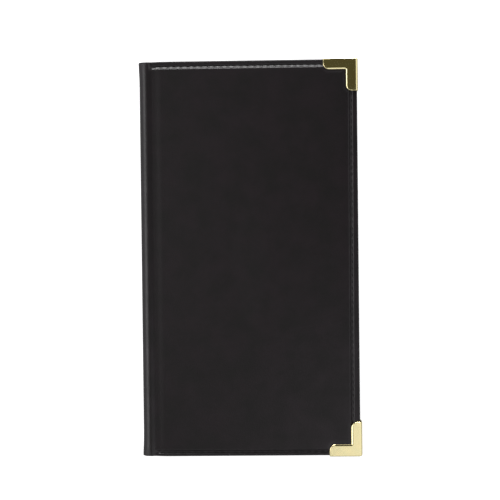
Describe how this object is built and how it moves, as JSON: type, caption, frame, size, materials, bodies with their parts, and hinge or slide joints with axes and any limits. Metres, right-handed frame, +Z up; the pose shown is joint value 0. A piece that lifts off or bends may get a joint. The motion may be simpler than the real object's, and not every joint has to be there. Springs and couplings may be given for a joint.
{
  "type": "guest check presenter",
  "caption": "Padded folder of black simulated leather for a restaurant bill, with a rounded spine, sewn edges, inside pockets and brass corner protectors.",
  "frame": {"origin": "under the middle of the closed folder, on the surface it lies on", "axes": "+X from the spine to the fore edge, +Y from the bottom edge to the top edge, +Z up through the closed covers"},
  "size_m": [0.1404, 0.2552, 0.0112],
  "materials": {
    "cover_leatherette": "fine grain, semi-matt",
    "lining_cloth": "fine weave",
    "pocket_leatherette": "fine grain, matt",
    "black_thread": "twisted polyester",
    "foam": "closed-cell foam",
    "greyboard": "raw",
    "brass": "polished"
  },
  "bodies": {
    "back_cover": {"back_outer_skin": "cover_leatherette", "back_padding": "foam", "back_board": "greyboard", "back_lining": "lining_cloth", "back_check_pocket": "pocket_leatherette", "back_pocket_thread": "black_thread", "back_card_pocket": "pocket_leatherette", "back_card_thread": "black_thread", "back_seam_thread": "black_thread", "back_top_corner": "brass", "back_bottom_corner": "brass"},
    "spine": {"spine_outer_skin": "cover_leatherette", "spine_padding": "foam", "spine_lining": "lining_cloth"},
    "front_cover": {"front_outer_skin": "cover_leatherette", "front_padding": "foam", "front_board": "greyboard", "front_lining": "lining_cloth", "front_receipt_pocket": "pocket_leatherette", "front_pocket_thread": "black_thread", "front_seam_thread": "black_thread", "front_top_corner": "brass", "front_bottom_corner": "brass"}
  },
  "joints": [
    {"name": "back_crease", "type": "hinge", "parent": "back_cover", "child": "spine", "pos_m": [-0.06916, 0, 0.00099], "axis": [0, -1, 0], "range_deg": [0, 90]},
    {"name": "front_crease", "type": "hinge", "parent": "spine", "child": "front_cover", "pos_m": [-0.06916, 0, 0.01021], "axis": [0, -1, 0], "range_deg": [0, 90]}
  ]
}
